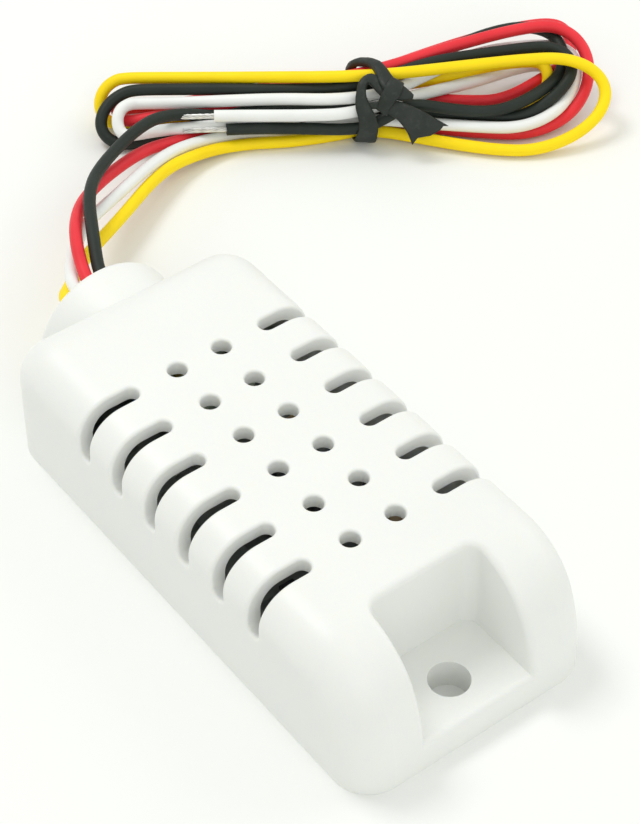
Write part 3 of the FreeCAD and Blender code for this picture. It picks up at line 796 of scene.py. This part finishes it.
tinned = {
    "length": 4.8,  # mm, as are the diameters
    "strands": 7,
    "strandDiameter": 0.205,
    "layDiameter": 0.40,
    "turns": 1.1,
    "steps": 24,
    "sides": 8,
}


def strandPlan():
    # Six strands laid round a seventh
    plan = Plan("laidStrands", {"Strands": "Int", "Strand Diameter": "Float", "Lay Diameter": "Float",
                                "Turns": "Float", "Steps": "Int", "Sides": "Int"})
    line = plan.line(plan.given("Steps"))
    copies = plan.add("GeometryNodeDuplicateElements", {"domain": "SPLINE"},
                      {"Geometry": line, "Amount": plan.given("Strands")})
    number = copies.output("Duplicate Index")
    along = plan.add("GeometryNodeSplineParameter")
    isOuter = number.maths("GREATER_THAN", 0.5)
    angle = (number / (plan.given("Strands") - 1) + plan.given("Turns") * along) * (2 * math.pi)
    reach = plan.given("Lay Diameter") * 0.5 * isOuter
    tangent = plan.add("GeometryNodeInputTangent")
    normal = plan.add("GeometryNodeInputNormal")
    side = plan.vector("CROSS_PRODUCT", tangent, normal)
    shift = plan.vector("ADD", plan.scaled(normal, angle.maths("COSINE") * reach),
                        plan.scaled(side, angle.maths("SINE") * reach))
    laid = plan.add("GeometryNodeSetPosition", None, {"Geometry": copies, "Offset": shift})
    ring = plan.add("GeometryNodeCurvePrimitiveCircle", None,
                    {"Resolution": plan.given("Sides"), "Radius": plan.given("Strand Diameter") * 0.5})
    solid = plan.add("GeometryNodeCurveToMesh", None,
                     {"Curve": laid, "Profile Curve": ring, "Fill Caps": True})
    plan.end(solid, "tinned_metal")
    return plan


laidStrands = strandPlan()


def makeTinnedEnd(name, start):
    tip = start + hankWay((-tinned["length"], 0, 0))
    mesh = laidStrands.grow([start, (start + tip) / 2, tip], {
        "Strands": tinned["strands"], "Strand Diameter": tinned["strandDiameter"] * mm,
        "Lay Diameter": tinned["layDiameter"] * mm, "Turns": tinned["turns"],
        "Steps": tinned["steps"], "Sides": tinned["sides"]})
    piece = pieceFrom("tinnedStrands_" + name, mesh)
    finishPiece(piece, "tinned_metal", "tinned_end_" + name)
    return piece


# The tie: three strips, for the band, the knot's wrap and the cut tail

tie = {
    "steps": 110,
    "sides": 16,
    "squareness": 0.62,  # 1 is oval, less is nearer to a flat strip
    "crumple": 0.34,  # mm, as is the next
    "crumpleSize": 1.5,
    "crumpleDetail": 2.0,
    "cutShare": 0.25,  # share of a strip's length that its slanted, notched end pulls on
    "notchWidth": 0.60,  # share of the half width from a tip to the next notch
    "notchDepth": {"band": 0.0, "knot": 0.0, "tail": 1.3},  # mm, as are the next two
    "slant": {"band": 0.0, "knot": 0.0, "tail": 0.30},
    "mergeDistance": 0.002,
}

# Strips of the tie: place, half width and its direction, half thickness, in the hank's directions
tieStrips = {
    "band": [
        ((2.4, -2.1, 6.3), (0.30, 0.50, 0.42), 0.38),
        ((1.2, -1.2, 7.0), (0.32, 0.52, 0.44), 0.40),
        ((0.2, -0.4, 7.5), (0.10, 0.52, 0.34), 0.40),
        ((-0.6, -0.9, 7.3), (-0.40, 0.30, 0.16), 0.38),
        ((-0.9, -1.9, 6.5), (-0.58, 0.0, 0.0), 0.32),
        ((-0.7, -2.9, 5.6), (-0.85, 0.0, 0.0), 0.26),
        ((-0.3, -3.7, 4.8), (-1.00, 0.0, 0.0), 0.20),
        ((-0.1, -3.9, 3.5), (-1.06, 0.0, 0.0), 0.18),
        ((-0.3, -3.8, 2.2), (-1.18, 0.0, 0.0), 0.16),
        ((-0.5, -3.2, 1.0), (-1.20, 0.2, 0.0), 0.16),
        ((-0.8, -1.6, 0.35), (-1.0, 0.0, 0.0), 0.14),
        ((-1.1, 1.0, 0.26), (-0.9, 0.0, 0.0), 0.14),
        ((-1.4, 3.4, 0.8), (-0.8, 0.0, 0.0), 0.20),
        ((-1.6, 4.9, 2.4), (-0.7, 0.0, 0.0), 0.26),
        ((-1.7, 5.3, 4.0), (-0.60, 0.0, 0.0), 0.32),
        ((-1.6, 4.8, 5.2), (-0.55, -0.05, 0.0), 0.38),
        ((-1.2, 4.2, 6.2), (-0.50, -0.28, 0.0), 0.42),
        ((-0.3, 3.3, 7.0), (-0.44, -0.36, 0.0), 0.44),
        ((0.6, 2.2, 7.6), (-0.48, -0.36, 0.0), 0.44),
        ((1.3, 0.9, 7.8), (-0.62, -0.36, 0.0), 0.46),
        ((1.8, -0.6, 7.5), (-0.80, -0.46, 0.0), 0.48),
        ((2.6, -1.8, 7.1), (-0.72, -0.66, -0.1), 0.48),
        ((3.7, -2.4, 6.8), (-0.34, -0.70, -0.3), 0.42),
        ((4.8, -2.7, 6.6), (-0.06, -0.26, -0.1), 0.22),
    ],
    "knot": [
        ((1.3, -3.4, 5.2), (0.60, -0.35, -0.25), 0.22),
        ((1.8, -3.1, 6.4), (0.70, -0.40, -0.25), 0.24),
        ((2.6, -2.4, 7.4), (0.80, -0.50, -0.30), 0.26),
        ((3.1, -1.3, 7.7), (0.70, -0.40, -0.20), 0.24),
        ((3.3, -0.6, 7.0), (0.50, -0.25, -0.20), 0.20),
    ],
    "tail": [
        ((-0.3, -2.7, 5.5), (0.0, 0.25, 0.30), 0.20),
        ((0.9, -2.9, 5.8), (0.0, 0.28, 0.34), 0.25),
        ((2.3, -3.3, 5.8), (0.25, 0.50, 0.60), 0.30),
        ((3.7, -4.0, 5.5), (0.65, 0.50, 0.66), 0.22),
        ((5.2, -4.7, 4.6), (1.25, 0.50, 0.75), 0.16),
        ((7.0, -5.3, 2.8), (2.00, 0.50, 0.90), 0.13),
    ],
}


def stripPlan():
    # A closed strip that takes its place, width and thickness from the points of its line
    plan = Plan("crumpledStrip", {"Steps": "Int", "Sides": "Int", "Squareness": "Float",
                                  "Crumple": "Float", "Crumple Size": "Float",
                                  "Notch Width": "Float", "Notch Depth": "Float", "Slant": "Float"})
    steps, sides = plan.given("Steps"), plan.given("Sides")
    grid = plan.add("GeometryNodeMeshGrid", None, {"Size X": 1.0, "Size Y": 1.0, "Vertices X": steps,
                                                   "Vertices Y": sides + 1})
    spot = plan.add("ShaderNodeSeparateXYZ", None, {0: plan.add("GeometryNodeInputPosition")})
    row = (spot + 0.5) * (steps - 1)
    along = plan.limited((row - 1) / (steps - 3))
    around = (spot.output("Y") + 0.5) * (2 * math.pi)
    isBetweenEnds = plan.limited(row) * plan.limited(steps - 1 - row)
    line = plan.line(steps)
    halfWidth = plan.sampled(line, "FLOAT_VECTOR", plan.named("wide", "FLOAT_VECTOR"), along)
    halfThickness = plan.sampled(line, "FLOAT", plan.named("thick", "FLOAT"), along)
    tangent = halfWidth.output("Tangent")
    lift = plan.vector("NORMALIZE", plan.vector("CROSS_PRODUCT", tangent, halfWidth))
    across = plan.squarer(around.maths("COSINE"))
    above = plan.squarer(around.maths("SINE")) * halfThickness * isBetweenEnds
    middle = plan.vector("ADD", halfWidth.output("Position"), plan.scaled(halfWidth, across))
    noise = plan.add("ShaderNodeTexNoise", None,
                     {"Vector": middle, "Scale": 1.0 / plan.given("Crumple Size"),
                      "Detail": tie["crumpleDetail"]})
    rise = above + (noise - 0.5) * plan.given("Crumple")
    place = plan.vector("ADD", middle, plan.scaled(lift, rise))
    toCut = plan.limited((along - (1.0 - tie["cutShare"])) * (1.0 / tie["cutShare"]))
    notch = (across + 1.0).maths("PINGPONG", plan.given("Notch Width"))
    cut = notch * plan.given("Notch Depth") + (1.0 - across) * plan.given("Slant")
    place = plan.vector("SUBTRACT", place, plan.scaled(tangent, cut * toCut))
    strip = plan.add("GeometryNodeSetPosition", None, {"Geometry": grid, "Position": place})
    joined = plan.add("GeometryNodeMergeByDistance", None,
                      {"Geometry": strip, "Distance": tie["mergeDistance"] * mm})
    plan.end(joined, "tie_plastic")
    return plan


def makeTie():
    plan = stripPlan()
    whole = bmesh.new()
    for name, rows in tieStrips.items():
        values = {"Steps": tie["steps"], "Sides": tie["sides"], "Squareness": tie["squareness"],
                  "Crumple": tie["crumple"] * mm, "Crumple Size": tie["crumpleSize"] * mm,
                  "Notch Width": tie["notchWidth"], "Notch Depth": tie["notchDepth"][name] * mm,
                  "Slant": tie["slant"][name] * mm}
        strip = plan.grow([hankPoint(place) for place, wide, thick in rows], values,
                          wide=[hankWay(wide) * mm for place, wide, thick in rows],
                          thick=[thick * mm for place, wide, thick in rows])
        whole.from_mesh(strip)
        bpy.data.meshes.remove(strip)
    bmesh.ops.recalc_face_normals(whole, faces=whole.faces)
    mesh = bpy.data.meshes.new("crumpledTie")
    whole.to_mesh(mesh)
    whole.free()
    mesh.materials.append(finishes["tie_plastic"])
    piece = pieceFrom("crumpledTie", mesh)
    finishPiece(piece, "tie_plastic", "twist_tie")
    print("tie made of", len(tieStrips), "strips")
    return piece


def makeWire(name, points, *onIt):
    data = wireCurve("wire_" + name, points)
    data.materials.append(finishes["wire_" + name])
    piece = pieceFrom("cable_" + name, data)
    finishPiece(piece, "wire_" + name, "lead_" + name, "hank_" + name)
    bare = makeTinnedEnd(name, points[-1])
    length = curveLength(data)
    tuple(points[0] * mm)
    print("wire", name, "is %.0f mm long" % (length / mm))


wireRoutes = settleWires([wirePoints(name) for name in cable["names"]],
                         [leadCount(name) for name in cable["names"]])
tiePiece = makeTie()
for wireName, route in zip(cable["names"], wireRoutes):
    onWire = [tiePiece] if wireName == "yellow" else []
    makeWire(wireName, route, *onWire)
